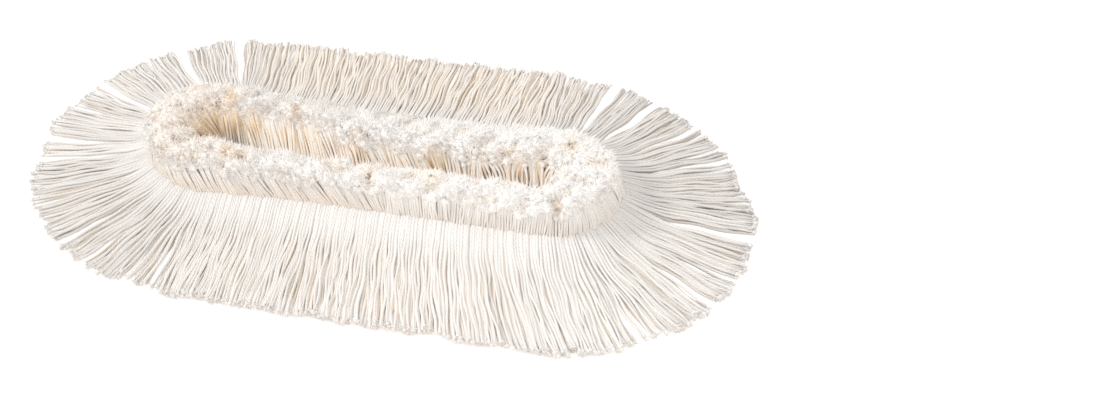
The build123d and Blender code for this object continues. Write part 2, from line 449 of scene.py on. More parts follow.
def sweep_yarns(name, guides, tree, inputs):
    """One piece of yarns from guide lines: arrays of points and of values along them, yarn by yarn."""
    points = guides["points"]
    number = np.arange(points.shape[0] * points.shape[1]).reshape(points.shape[:2])
    pairs = np.stack([number[:, :-1], number[:, 1:]], -1)
    mesh = bpy.data.meshes.new(name)
    mesh.vertices.add(number.size)
    mesh.vertices.foreach_set("co", points.astype(np.float32).ravel())
    mesh.edges.add(pairs.size // 2)
    mesh.edges.foreach_set("vertices", pairs.astype(np.int32).ravel())
    for key in ("girth", "along", "warmth", "shade"):
        layer = mesh.attributes.new(key, "FLOAT", "POINT")
        layer.data.foreach_set("value", guides[key].astype(np.float32).ravel())
    piece = grown_by_nodes(new_object(name + "_guides", mesh), tree, inputs, name)
    for key in ("girth", "along", "around"):
        if key in piece.data.attributes:
            piece.data.attributes.remove(piece.data.attributes[key])
    places = np.empty((len(piece.data.vertices), 3), np.float32)
    piece.data.vertices.foreach_get("co", places.ravel())
    places[:, 2] = np.maximum(places[:, 2], FLOOR_GAP)
    piece.data.vertices.foreach_set("co", places.ravel())
    return piece


def guide_set(points, girth, warmth, shade, radius):
    """Guide lines with the values that the yarns carry; a point of no girth closes each end in a pole."""
    count = len(points)
    last_step = points[:, -1:] - points[:, -2:-1]
    first = points[:, :1] + (points[:, :1] - points[:, 1:2]) * 1e-3
    last = points[:, -1:] + last_step / np.linalg.norm(last_step, axis=-1, keepdims=True) * radius * 0.6
    points = np.concatenate([first, points, last], 1)
    steps = np.linalg.norm(np.diff(points, axis=1), axis=-1)
    run = np.concatenate([np.zeros((count, 1)), np.cumsum(steps, 1)], 1)
    shade = np.broadcast_to(shade.reshape(count, -1), warmth.shape)
    both_ends = ((0, 0), (1, 1))
    return {
        "points": points,
        "girth": np.pad(girth, both_ends),
        "along": run + np.random.default_rng(count).uniform(0, 0.05, (count, 1)),
        "warmth": np.pad(warmth, both_ends, "edge"),
        "shade": np.pad(shade, both_ends, "edge"),
    }


def fringe_guides(stretch, yarn, seed):
    """Guide lines of one stretch of fringe, and each root's place along the edge."""
    rng = np.random.default_rng(seed)
    is_round, middle = STRETCHES[stretch][1:3]
    is_back = stretch == "back"
    uneven_roots, mingled, ragged, root_loft, gathered = FRINGE_WAYS[stretch]
    half = half_length(stretch)
    radius = yarn.diameter / 2
    layers = {"front": yarn.fringe_layers, "back": yarn.back_layers}.get(stretch, yarn.end_layers)
    count = round(2 * half / yarn.fringe_pitch) * layers
    column = (count, 1)
    slots = np.arange(count).reshape(column)
    root = (slots + 0.5) / count * 2 * half - half
    root = np.clip(root + rng.normal(0, uneven_roots * MM, column), -half, half)
    level = np.clip((slots % layers + rng.uniform(-mingled, mingled, column)) / (layers - 1), 0, 1)
    place = middle + root

    # Length: upper yarns start further in on the binding, and the tips are uneven
    length = TIP_R - EDGE_R - 2.2 * MM * ragged
    length = length + ragged * (wander(place, 1.6, 40, 101) + wander(place, 0.9, 11, 105))
    length = length - np.abs(rng.normal(0, 2.6 * MM, column))
    start = np.where(level > 0.5, -7 * MM, 0.6 * MM)
    out = EDGE_R + start + (length - start) * np.linspace(0, 1, yarn.fringe_steps)
    reach = np.clip((out - EDGE_R) / (TIP_R - EDGE_R), 0, 1)

    # Height: down over the bound edge to the floor, in layers, with a few strays that lie on top
    top = 3.7 * MM + 9.1 * MM * np.exp(-(reach / 0.17) ** 1.5) - (0.5 * MM * reach if is_round else 0)
    bottom = radius + (9.2 * MM - radius) * np.exp(-(reach / 0.14) ** 1.5)
    bottom = bottom + 0.6 * MM * ease(reach, 0.85, 1.0)
    loft = root_loft + (1 - root_loft) * ease(reach, 0.05, 0.4)
    height = top - (top - bottom) * (1 - level) * loft + 1.0 * MM * ease(reach, 0.82, 1.0)
    rolls, begin = np.hsplit(rng.uniform((1.2, 0), (2.6, 1), (count, 2)), 2)
    height += 0.3 * MM * np.sin(TURN * (reach * rolls + begin))
    stray = np.where(rng.uniform(0, 1, column) < 0.09, rng.normal(0, 4 * MM, column), 0)
    height += np.clip(np.abs(stray) / (3 * MM), 0, 1) * 1.2 * MM * ease(reach, 0.2, 0.5) * level
    height = np.maximum(height, radius)

    # Sideways: gathered in clumps, brushed over, wavy and parted by the slits
    widths = rng.uniform(5 * MM, 10 * MM, 200) if is_round else rng.uniform(7 * MM, 17 * MM, 200)
    edges = np.concatenate([[-half], -half + np.cumsum(widths)])
    clump = np.clip(np.searchsorted(edges, root), 1, len(edges) - 1)
    centre = (edges[clump - 1] + edges[clump]) / 2
    hold = rng.beta(1.1, 3.2, len(edges))[clump] * gathered
    wrapped = (place + PERIMETER / 2) % PERIMETER - PERIMETER / 2
    hold = hold * (1 + 0.9 * np.exp(-((wrapped + 140 * MM) / (65 * MM)) ** 2))
    hold = hold * (0.35 + 0.65 * level if is_back else 1.0)
    grown = ease(reach, 0.0, 0.6) if is_back else ease(reach, 0.1, 1.0)
    sideways = (centre - root) * hold * grown * (out / EDGE_R if is_round else 1.0)
    sideways += (np.interp(place, *LEANS.T) + wander(place, 3.2, 75, 102)) * reach ** 1.4
    sideways += wander(place, 1.2, 24, 103) * np.sin(math.pi * reach * 1.6) * ease(reach, 0.1, 0.4)
    wave = 48 * MM + wander(place, 9, 50, 106) + rng.normal(0, 4 * MM, column)
    phase = rng.uniform(0, TURN, column) * 0.15 + 2.4 * drift(place, 38, 104)
    swing = np.abs(rng.normal(0.85 * MM, 0.25 * MM, column))
    sideways += swing * np.sin(TURN * (out - EDGE_R) / wave + phase) * ease(reach, 0.08, 0.35)
    sideways += rng.normal(0, 1.0 * MM, column) * reach ** 1.5 + stray * reach ** 1.3
    for angle, gap in PARTINGS.get(stretch, ()):
        away = root - math.radians(angle) * EDGE_R
        push = np.where(away < 0, -1, 1) * gap * MM / 2 * np.exp(-np.abs(away) / (6 * MM))
        sideways += push * reach ** 0.9
    points = on_edge(stretch, root + along_shift(stretch, sideways, out), out, height)

    # Girth and painted shade: fuller along the front's shoulder; painted warm shade and darkening low in the
    # layers, where shade falls between the yarns, none on the lit shoulder near the root and little at the
    # tips
    fuller = 0.25 * (1 - ease(np.abs(wrapped), HALF_STRAIGHT, HALF_STRAIGHT + 70 * MM))
    girth = 1.0 + fuller * (1 - ease(reach, 0.06, 0.3)) + rng.normal(0, 0.05, column)
    girth[:, -1] *= 0.8
    tones = [np.interp(place, TONES[:, 0] * MM, tone, period=PERIMETER) for tone in TONES.T[1:]]
    top_warm_shade, fade, top_shade, bottom_layer_shade = tones
    warmth = (top_warm_shade + 0.7 * (1 - level) ** fade) * ease(reach, 0.0 if is_back else 0.08, 0.4)
    warmth = warmth * (1 - 0.8 * ease(reach, 0.85, 0.98))
    # Painted shade: darker by the yarn's place round the edge and lower in the layers, with a random spread
    # of tone
    shade = rng.normal(top_shade - bottom_layer_shade * (1 - level), 0.03)
    return guide_set(points, girth, warmth, shade, radius), root[:, 0]


def pile_roots(stretch, yarn, rng):
    """Roots of one stretch of standing pile, row by row: their places along the edge and distances out."""
    roots, feet = [], []
    for share in PILE_ROWS:
        row = PILE_OUTER + (PILE_INNER - PILE_OUTER) * share
        pitch, loose = yarn.pile_pitch, 0.2
        if share == 1:
            pitch, loose = 1.2 * yarn.pile_face_pitch, 0.14
        elif share < OUTER_ROWS or share > INNER_ROWS:
            pitch, loose = yarn.pile_face_pitch, 0.07
        fanned = PILE_MIDDLE + yarn.pile_close_in * (row - PILE_MIDDLE)
        span = math.pi * max(row, 0.8 * fanned) if STRETCHES[stretch][1] else 2 * HALF_STRAIGHT
        count = round(span / pitch)
        spread = (np.arange(count) + 0.5 + rng.uniform(-loose, loose, count)) / count * 2 - 1
        roots.append(spread * half_length(stretch))
        feet.append(row + rng.normal(0, 2 * loose * MM, count))
    return np.concatenate(roots), np.concatenate(feet)


def gather_ends(end, rng):
    """Gathers cut ends in tufts round the hollows; moves them in place and gives each one's warm tint of
    painted shade.
    """
    chance, step = np.random.default_rng(77), 11 * MM
    across, down = np.meshgrid(np.arange(-215 * MM, 215 * MM, step), np.arange(-82 * MM, 82 * MM, step))
    centres = np.stack([across.ravel(), down.ravel()], -1)
    centres = centres + chance.uniform(-0.38, 0.38, centres.shape) * step
    hold = chance.uniform(0.0, 0.1, len(centres))
    apart = np.linalg.norm(end[:, None, :2] - centres[None], axis=-1)
    near = np.argmin(apart, 1)
    end[:, :2] += (centres[near] - end[:, :2]) * hold[near][:, None]
    swell = unevenness(end, 24 * MM, 78)
    end[:, 2] += 2.0 * MM * swell - 0.8 * MM * np.clip(np.min(apart, 1) / (7 * MM), 0, 1.2) ** 2
    end[:, 2] += rng.normal(0, 0.6 * MM, len(end))
    # Painted warm shade in the low spots of the top and over the left end of the ring
    painted_shade_tint = np.clip(-0.3 * swell - 0.04, 0, 0.5) + 0.25 * ease(-end[:, 0], 120 * MM, 165 * MM)
    for x, y, deep in HOLLOWS:
        away = end[:, :2] - np.array((x, y)) * MM
        far = np.linalg.norm(away, axis=-1) + 0.1 * MM
        near_it = deep * np.exp(-(far / (6 * MM)) ** 2)
        end[:, :2] += away / far[:, None] * (3.0 * MM * near_it)[:, None]
        end[:, 2] -= 3.5 * MM * near_it
        # Painted warm shade in the hollow
        painted_shade_tint = painted_shade_tint + 1.1 * near_it
    end[:, 2] = np.clip(end[:, 2], BASE_TOP + 6 * MM, PILE_TOP - 0.4 * MM)
    return painted_shade_tint


def pile_guides(stretch, yarn, seed):
    """Guide lines of one stretch of standing pile, and each root's place along the edge."""
    rng = np.random.default_rng(seed)
    root, foot = pile_roots(stretch, yarn, rng)
    count = len(root)
    place = STRETCHES[stretch][2] + root
    edge = ease(foot, 46 * MM, PILE_OUTER)
    inward = np.clip((PILE_OUTER - foot) / (PILE_OUTER - PILE_INNER), 0, 1)
    flat = on_edge(stretch, root, foot, foot)
    outward = on_edge(stretch, root, foot + 1.0, foot) - flat

    # Roots on the binding and the base cloth, and cut ends that close over them
    bow = np.where(flat[:, 0] < 0, 5.5, 1.5) * MM * ease(np.abs(flat[:, 0]), 40 * MM, 150 * MM) * edge
    start = on_edge(stretch, root, foot + bow, np.where(foot > 56 * MM, BINDING_HIGH, BASE_TOP + 0.4 * MM))
    close = np.where(foot > PILE_MIDDLE, yarn.pile_close_out, yarn.pile_close_in)
    tip = PILE_MIDDLE + close * (foot - PILE_MIDDLE) + bow
    tip = tip + wander(place, 2.2, 33, 502) + rng.normal(0, 1.1 * MM, count)
    tip = tip + wander(place, 3.0, 23, 506) * inward ** 2 + wander(place, 1.1, 13, 508) * edge
    crown = (tip - 38 * MM) / (18 * MM)
    top = PILE_TOP - 2.0 * MM - np.where(crown > 0, 4.0, 5.0) * MM * crown ** 2
    top = top + wander(place, 1.6, 60, 503) + wander(place, 1.4, 17, 509) * inward ** 2
    staggered = place + 3 * (PILE_OUTER - foot)
    sway = wander(staggered, 2.2 + 1.6 * inward, 70, 504) + wander(staggered, 0.4 + 1.4 * inward, 32, 505)
    sway = sway + wander(place, 1.1 * inward, 13, 507)
    end = on_edge(stretch, root + along_shift(stretch, sway, np.maximum(tip, 18 * MM)), tip, top)

    # Pushed over in use, then gathered in tufts
    along = start[:, 0]
    shifts = [np.interp(along, PUSHED[:, 0], shift) for shift in PUSHED.T[1:]]
    inner_root, ends_along, back_out, back_in, front_in, front_out = shifts
    behind = (1 + outward[:, 1]) / 2
    upright = ease(along, -30 * MM, 70 * MM) * np.clip(-outward[:, 1], 0, 1) * (1 - inward)
    start[:, 1] += (inner_root + wander(along, 2.6, 55, 513)) * inward
    end[:, 0] += ends_along * (1 - 0.9 * upright)
    end[:, 1] += behind * (back_out + (back_in - back_out) * inward)
    end[:, 1] += (1 - behind) * (front_out + (front_in - front_out) * inward)
    painted_shade_tint = gather_ends(end, rng)

    # Shape between the ends: bellied at the outer face, kinked within, tumbled at the right of the trough
    share = np.linspace(0, 1, yarn.pile_steps)
    bend = np.stack([share ** 1.4, share ** 1.4, share], -1)
    points = start[:, None] + (end - start)[:, None] * bend[None]
    belly = (0.4 * MM + 2.4 * MM * edge)[:, None] * np.sin(math.pi * share) ** 1.3
    flare = ((2.6 + 1.6 * drift(place, 26, 510)) * MM * edge)[:, None] * (1 - ease(share, 0.0, 0.5))
    points = points + outward[:, None] * (belly + flare)[..., None] * (1, 1, 0)
    face = np.maximum(ease(foot, PILE_OUTER - 4 * MM, PILE_OUTER - 2 * MM), ease(inward, 0.9, 0.95))
    kink = rng.normal(0, 0.45 * MM, (count, 1, 2)) * (1 - 0.7 * face[:, None, None])
    points[..., :2] += kink * np.sin(TURN * share)[None, :, None]
    tumbled = ease(inward, 0.85, 0.95) * ease(along, 20 * MM, 80 * MM)
    curl = (rng.normal(0, 0.5 * MM, count) + wander(place, 2.8, 27, 511)) * tumbled
    points[..., 0] += curl[:, None] * np.sin(math.pi * share)
    girth = 0.96 - 0.05 * face[:, None] + 0.16 * ease(share, 0.55, 0.95) + rng.normal(0, 0.04, (count, 1))

    # Painted shade: warm near the roots and in the hollows, darkest in the cup at the left of the trough,
    # darker on the rows just behind the inner face, on the outer face at the left and in streaks on the inner
    # wall; painted light makes the front of the ring lighter and the back darker
    cup_shade = ease(inward, 0.7, 0.9) * ease(-along, 105 * MM, 130 * MM)
    streak_shade = ease(inward, 0.8, 0.95) * ease(drift(place, 32, 512), 0.3, 0.8)
    left_face = ease(-along, -60 * MM, 40 * MM)
    row_warm_shade = 1.0 - (0.84 - 0.14 * left_face) * ease(foot, PILE_OUTER - 6 * MM, PILE_OUTER - 1 * MM)
    row_warm_shade = (row_warm_shade - 0.72 * ease(inward, 0.93, 1.0)) * (1 - 0.25 * tumbled)
    painted_shade_tint = painted_shade_tint + 0.3 * cup_shade + 0.45 * streak_shade
    painted_shade_tint = painted_shade_tint * (1 - 0.8 * ease(foot, PILE_OUTER - 5 * MM, PILE_OUTER - 2 * MM))
    seen = ease(share, 0.25, 0.65) * (1 - 0.5 * ease(share, 0.75, 1.0))
    warmth = row_warm_shade[:, None] * (1 - ease(share, 0.5, 1.0)) + painted_shade_tint[:, None] * seen
    # Painted light: the front of the ring lighter and the back darker
    unshaded_colour_and_painted_light = {"front": 1.025, "back": 0.98}.get(stretch, 1.0)
    # Painted shade on the outer face rows, more at the left under the overhang of the top, with a random
    # spread of tone
    shade = rng.normal(unshaded_colour_and_painted_light - (0.02 + 0.07 * left_face) * face * (inward < 0.5), 0.025)
    # Painted shade low on the rows just behind the inner face, in the cup and in the streaks
    behind_face_shade = ease(inward, 0.8, 0.88) * (1 - ease(inward, 0.955, 0.985)) * (1 - ease(along, 0, 60 * MM))
    painted_shade_loss = rng.normal(0.25 * cup_shade + 0.10 * streak_shade + 0.05 * behind_face_shade, 0.13 * cup_shade + 0.07 * streak_shade)
    shade = shade[:, None] - painted_shade_loss[:, None] * (1 - ease(share, 0.6, 0.95))
    return guide_set(points, girth, np.clip(warmth, 0, 1), shade, radius=yarn.pile_diameter / 2), root


def yarn_pieces(kind, guides_of, yarn, seed, bundle_column, end_shape, inputs, swollen):
    """Yields one piece of yarns for each sewn bundle, with its stretch and the node it stands for."""
    tree = bpy.data.node_groups.get("Plied yarn") or yarn_tree()
    ends = bpy.data.collections.new(kind + "_end")
    for number in range(3):
        ends.objects.link(ply_end(f"{ends.name}_{number}", *end_shape, 40 + number))
    for number, (stretch, facts) in enumerate(STRETCHES.items()):
        guides, root = guides_of(stretch, yarn, seed + 10 * number)
        half, bundles = half_length(stretch), facts[bundle_column]
        bundle = np.clip(((root + half) / (2 * half) * bundles).astype(int), 0, bundles - 1) + 1
        size = inputs["End size"] * swollen.get(stretch, 1.0)
        for index in range(1, bundles + 1):
            own = {key: value[bundle == index] for key, value in guides.items()}
            node = f"{stretch}_{kind}_{index}"
            values = {**inputs, "Cut ends": ends, "End size": size, "Seed": index}
            yield sweep_yarns(node + "_yarns", own, tree, values), stretch, node
    for template in list(ends.objects):
        bpy.data.objects.remove(template)
    bpy.data.collections.remove(ends)


# Cloth

def edge_columns(parts, step):
    """Evenly spaced columns along stretches of edge, each stretch from its first to its last place."""
    columns = []
    for stretch, first, last in parts:
        count = max(2, round(abs(last - first) / step))
        columns += [(stretch, along) for along in np.linspace(first, last, count, endpoint=False)]
    return columns


def loop_columns(step):
    """Columns all round the head."""
    return edge_columns([(name, -half_length(name), half_length(name)) for name in STRETCHES], step)


def column_grid(columns, out, height, wrap):
    """Grid of a sheet: its points, each column's place along the edge, and whether it wraps round."""
    points = [on_edge(stretch, along, o, h) for (stretch, along), o, h in zip(columns, out, height)]
    return np.stack(points), column_places(columns), wrap


def column_places(columns):
    """Each column's place along the whole edge."""
    return np.array([STRETCHES[stretch][2] + along for stretch, along in columns])


def cloth_mesh(name, grids):
    """Open mesh of one or more grids of points; a wrapped grid joins its last column to its first."""
    bm = bmesh.new()
    cloth_map = bm.loops.layers.uv.new("cloth")
    for points, places, wrap in grids:
        columns, rows = points.shape[:2]
        verts = [[bm.verts.new(point) for point in column] for column in points]
        steps = np.linalg.norm(np.diff(points[columns // 2], axis=0), axis=-1)
        across = np.concatenate([[0], np.cumsum(steps)])
        for first in range(columns if wrap else columns - 1):
            after = (first + 1) % columns
            u_after = places[after] + (PERIMETER if after < first else 0)
            for row in range(rows - 1):
                corners = ((first, row), (after, row), (after, row + 1), (first, row + 1))
                face = bm.faces.new([verts[side][level] for side, level in corners])
                for loop, (side, level) in zip(face.loops, corners):
                    loop[cloth_map].uv = (places[first] if side == first else u_after, across[level])
    bmesh.ops.remove_doubles(bm, verts=bm.verts, dist=WELD)
    return finished_mesh(bm, name)


def solid_cloth(name, mesh, thickness, material):
    """Piece of cloth with its thickness, half to each side of the mesh."""
    obj = new_object(name + "_sheet", mesh)
    solidify = obj.modifiers.new("Thickness", "SOLIDIFY")
    solidify.thickness = thickness
    solidify.offset = 0.0
    solidify.use_even_offset = True
    piece = plain_mesh(obj, name)
    piece.data.materials.clear()
    piece.data.materials.append(material)
    piece.data.shade_smooth()
    piece.data.set_sharp_from_angle(angle=math.radians(50))
    return piece


def base_cloth_grids(cloth):
    """Flat round-ended panel, and the folds that stiffen its long edges between the pockets."""
    columns = loop_columns(6 * MM)
    out = np.tile(np.linspace(0, CLOTH_R - 0.5 * MM, 16), (len(columns), 1))
    ripple = drift(column_places(columns), 55, 901)[:, None] * np.sin(out / CLOTH_R * math.pi)
    grids = [column_grid(columns, out, BASE_LOW + CLOTH / 2 + 0.2 * MM * ripple, True)]
    lip = EDGE_R - cloth.binding_width
    for stretch in ("front", "back"):
        fold = edge_columns([(stretch, -MOUTH_X + 0.5 * MM, MOUTH_X - 0.5 * MM)], 8 * MM)
        fold_out = np.tile(np.linspace(lip + 0.3 * MM, CLOTH_R - 0.6 * MM, 4), (len(fold), 1))
        grids.append(column_grid(fold, fold_out, np.full_like(fold_out, BASE_LOW - CLOTH / 2), False))
    return grids


def pocket_grids(cloth, parts):
    """Puffed pocket: flat floor, wall that curves up to the sewn edge, and the hem folded into its mouth."""
    first, end, last = parts
    columns = edge_columns([(first, MOUTH_X, HALF_STRAIGHT), (end, -ARC_HALF, ARC_HALF),
                            (last, -HALF_STRAIGHT, -MOUTH_X)], 4 * MM)
    columns.append((last, -MOUTH_X))
    places = column_places(columns)
    wall_out = EDGE_R - cloth.binding_width - CLOTH
    floor_out = wall_out - cloth.wall_width
    rows = np.concatenate([
        np.linspace(0, floor_out - 5 * MM, 12),
        np.linspace(floor_out - 3 * MM, wall_out + 2 * MM, 9),
        np.linspace(wall_out + 4 * MM, CLOTH_R - 0.5 * MM, 4),
    ])
    out = np.tile(rows, (len(columns), 1))
    rise = ease(out, floor_out - 4 * MM, wall_out + 1 * MM)
    low, high = CLOTH / 2, BASE_LOW - CLOTH / 2
    pucker = drift(places, 15, 911)[:, None] * np.exp(-((out - wall_out + 2 * MM) / (4 * MM)) ** 2)
    crease = np.abs(drift(places, 46, 912))[:, None] * np.sin(math.pi * np.clip(out / floor_out, 0, 1)) ** 2
    crease = crease * ease(out, 12 * MM, 34 * MM)
    from_mouth = [200 * MM if name == end else abs(along) - MOUTH_X for name, along in columns]
    lifted = 0.55 * MM * np.exp(-(np.array(from_mouth)[:, None] / (16 * MM)) ** 2) * (1 - rise)
    height = low + (high - low) * rise + 0.55 * MM * pucker + 0.7 * MM * crease + lifted
    height = np.minimum(height, high)
    hem_rows = rows[rows < floor_out - 1 * MM]
    side_first = on_edge(first, MOUTH_X, hem_rows, height[0, :len(hem_rows)])[::-1]
    side_last = on_edge(last, -MOUTH_X, hem_rows, height[-1, :len(hem_rows)])
    line = np.concatenate([side_first, side_last[1:]])
    inward = 1 if end == "right" else -1
    width = cloth.hem_width
    turned = ((0, 0), (-0.45 * MM, 0.55), (0, 1.1), (0.4 * width, 1.1), (0.9 * width, 1.1), (width, 0.95))
    hem = np.stack([line + np.array([inward * step_in, 0, step_up * CLOTH]) for step_in, step_up in turned])
    return [column_grid(columns, out, height, False), (hem, np.linspace(0, width, len(hem)), False)]


def binding_grids(cloth):
    """Tape folded over the edge: back lip, outer face and yarn-side lip, drawn in by its stitches."""
    columns = loop_columns(2.5 * MM)
    places = column_places(columns)
    half = cloth.thickness / 2
    lip = EDGE_R - cloth.binding_width
    low, high, side = BINDING_LOW + half, BINDING_HIGH - half, EDGE_R - half
    shape = np.array((
        (lip, low),
        (lip + 1.6 * MM, low + 0.12 * MM),
        (lip + 3.5 * MM, low),
        (lip + 5.8 * MM, low + 0.12 * MM),
        (side - 2.2 * MM, low),
        (side - 0.8 * MM, low + 0.25 * MM),
        (side - 0.15 * MM, low + 1.0 * MM),
        (side, (low + high) / 2),
        (side - 0.15 * MM, high - 1.0 * MM),
        (side - 0.8 * MM, high - 0.25 * MM),
        (side - 2.0 * MM, high),
        (side - 3.2 * MM, high),
    ))
    from_lip = np.exp(-(shape[:, 0] - lip) / (2.5 * MM))
    out = shape[:, 0] + 0.28 * MM * drift(places, 9, 921)[:, None] * from_lip
    height = shape[:, 1] + 0.16 * MM * drift(places, 12, 922)[:, None] * (shape[:, 1] < high)
    return [column_grid(columns, out, height, True)]


def stitch_template():
    """One stitch, one unit long and one unit thick: thread that dips into the cloth at both ends."""
    bm = bmesh.new()
    sides = 6
    rings = []
    for share, girth, lift in ((0, 0, -0.35), (0.15, 0.8, 0), (0.5, 1, 0.15), (0.85, 0.8, 0), (1, 0, -0.35)):
        ring = []
        for side in range(sides if girth else 1):
            angle = TURN * side / sides
            around = Vector((0, math.cos(angle), math.sin(angle))) * girth / 2
            ring.append(bm.verts.new(Vector((share - 0.5, 0, lift)) + around))
        rings.append(ring)
    for ring, following in zip(rings, rings[1:]):
        for side in range(sides):
            after = (side + 1) % sides
            corners = [ring[side % len(ring)], ring[after % len(ring)]]
            corners += [following[after % len(following)], following[side % len(following)]]
            bm.faces.new(list(dict.fromkeys(corners)))
    mesh = finished_mesh(bm, "stitch")
    mesh.shade_smooth()
    return bpy.data.objects.new("stitch", mesh)


def stitch_tree():
    """Geometry nodes that lay stitches along seam lines on the underside of the cloth."""
    tree, given, out = node_group(
        "Stitch row", "GeometryNodeTree",
        (("Seams", "Geometry"), ("Stitch", "Object"), ("Pitch", "Float"), ("Length", "Float"),
         ("Thread", "Float"), ("Material", "Material")),
        (("Stitches", "Geometry"),),
    )
    curve = output(tree, "GeometryNodeMeshToCurve", {"Mesh": given["Seams"]})
    spaced = {"Curve": curve, "Length": given["Pitch"]}
    points = add(tree, "GeometryNodeCurveToPoints", spaced, mode="LENGTH").outputs
    downwards = output(tree, "FunctionNodeAlignRotationToVector", {"Vector": (0, 0, -1)}, axis="Z")
    laid = output(tree, "GeometryNodeInstanceOnPoints", {
        "Points": points["Points"],
        "Instance": add(tree, "GeometryNodeObjectInfo", {"Object": given["Stitch"]}).outputs["Geometry"],
        "Rotation": output(tree, "FunctionNodeAlignRotationToVector",
                           {"Rotation": downwards, "Vector": points["Tangent"]}, axis="X", pivot_axis="Z"),
        "Scale": output(tree, "ShaderNodeCombineXYZ",
                        {0: given["Length"], 1: given["Thread"], 2: given["Thread"]}),
    })
    tree.links.new(realized(tree, laid, given["Material"]), out["Stitches"])
    return tree


def seam_mesh(cloth):
    """Edges that the stitches follow: two rings on the binding and two lines across each pocket's hem."""
    columns = loop_columns(3 * MM)
    lip = EDGE_R - cloth.binding_width
    lines = []
    for inset in (1.6 * MM, 5.8 * MM):
        flat = np.full((len(columns), 1), lip + inset)
        ring = column_grid(columns, flat, np.full_like(flat, BINDING_LOW + 0.05 * MM), True)[0][:, 0]
        lines.append(np.concatenate([ring, ring[:1]]))
    reach = lip - CLOTH - cloth.wall_width - 3 * MM
    across = np.linspace(-reach, reach, 24)
    for side in (-1, 1):
        for inset in (1.8 * MM, cloth.hem_width - 1.8 * MM):
            height = CLOTH / 2 - cloth.thickness / 2 + 0.55 * MM * math.exp(-((inset / (16 * MM)) ** 2))
            lines.append(np.array([(side * (MOUTH_X + inset), y, height) for y in across]))
    verts, edges = [], []
    for line in lines:
        edges += [(len(verts) + step, len(verts) + step + 1) for step in range(len(line) - 1)]
        verts += [tuple(point) for point in line]
    mesh = bpy.data.meshes.new("seams")
    mesh.from_pydata(verts, edges, [])
    return mesh


# Materials

def ply_twist_group():
    """Plies and fibres of a yarn, from its own map: u runs along it in metres and v goes round it."""
    tree, given, out = node_group(
        "Ply twist", "ShaderNodeTree",
        (("Plies", "Float", 3.0), ("Pitch", "Float", 0.014), ("Fibre", "Float", 0.3)),
        (("Height", "Float"), ("Groove", "Float")),
    )
    calc = partial(maths, tree)
    spot = add(tree, "ShaderNodeSeparateXYZ", {0: output(tree, "ShaderNodeUVMap", uv_map="yarn")}).outputs
    turns = calc("DIVIDE", spot[0], given["Pitch"])
    wound = calc("MULTIPLY", calc("ADD", spot[1], turns), given["Plies"])
    ridge = calc("ABSOLUTE", calc("SINE", calc("MULTIPLY", wound, math.pi)))
    lines = output(tree, "ShaderNodeCombineXYZ",
                   {0: calc("MULTIPLY", spot[0], 180.0), 1: calc("MULTIPLY", wound, 5.0)})
    fibres = output(tree, "ShaderNodeTexNoise",
                    {"Vector": lines, "Scale": 1.0, "Detail": 3.0, "Roughness": 0.6})
    tree.links.new(calc("ADD", ridge, calc("MULTIPLY", fibres, given["Fibre"])), out["Height"])
    # Groove: painted shade in the grooves between the plies
    tree.links.new(calc("POWER", calc("SUBTRACT", 1.0, ridge), 3.0), out["Groove"])


def mottle_group():
    """Soft uneven tone of unbleached cotton, with a few darker flecks."""
    tree, given, out = node_group(
        "Cotton mottle", "ShaderNodeTree",
        (("Scale", "Float", 60.0), ("Amount", "Float", 0.1), ("Flecks", "Float", 0.2)),
        (("Tone", "Float"), ("Fleck", "Float")),
    )
    calc = partial(maths, tree)
    noise = partial(output, tree, "ShaderNodeTexNoise")
    spot = add(tree, "ShaderNodeTexCoord").outputs["Object"]
    cloud = noise({"Vector": spot, "Scale": given["Scale"], "Detail": 3.0, "Roughness": 0.6})
    tree.links.new(calc("MULTIPLY_ADD", calc("SUBTRACT", cloud, 0.5), given["Amount"], 1.0), out["Tone"])
    speck = calc("GREATER_THAN", noise({"Vector": spot, "Scale": 900.0, "Detail": 1.0}), 0.74)
    tree.links.new(calc("MULTIPLY", speck, given["Flecks"]), out["Fleck"])


def weave_group():
    """Plain weave from a flat place in metres: threads that pass over and under each other."""
    tree, given, out = node_group(
        "Plain weave", "ShaderNodeTree",
        (("Place", "Vector"), ("Thread", "Float", 0.0007)),
        (("Height", "Float"), ("Gap", "Float")),
    )
    calc = partial(maths, tree)
    spot = add(tree, "ShaderNodeSeparateXYZ", {0: given["Place"]}).outputs
    ways = [calc("MULTIPLY", calc("DIVIDE", spot[axis], given["Thread"]), math.pi) for axis in (0, 1)]
    warp, weft = [calc("ABSOLUTE", calc("SINE", way)) for way in ways]
    over = calc("MULTIPLY", *[calc("SINE", calc("MULTIPLY", way, 0.5)) for way in ways])
    turn = calc("MULTIPLY_ADD", calc("SIGN", over), 0.5, 0.5)
    under = calc("SUBTRACT", 1.0, turn)
    height = calc("ADD", calc("MULTIPLY", warp, turn), calc("MULTIPLY", weft, under))
    tree.links.new(height, out["Height"])
    # Gap: painted shade in the gaps between the threads
    tree.links.new(calc("POWER", calc("SUBTRACT", 1.0, height), 2.0), out["Gap"])


def blank_material(name):
    """Material with a Principled BSDF; gives the material, its tree and the shader."""
    material = bpy.data.materials.new(name)
    material.use_nodes = True
    tree = material.node_tree
    tree.nodes.clear()
    shader = add(tree, "ShaderNodeBsdfPrincipled")
    add(tree, "ShaderNodeOutputMaterial", {"Surface": shader.outputs[0]})
    return material, tree, shader


def colour(value, share=1.0):
    """Share of a colour, with full alpha."""
    return (*[share * part for part in value], 1.0)


def mixed(tree, factor, first, behind_face_shade, blend="MIX"):
    """Colour output of one Mix node."""
    inputs = {0: factor, 6: first, 7: behind_face_shade}
    return add(tree, "ShaderNodeMix", inputs, data_type="RGBA", blend_type=blend).outputs[2]


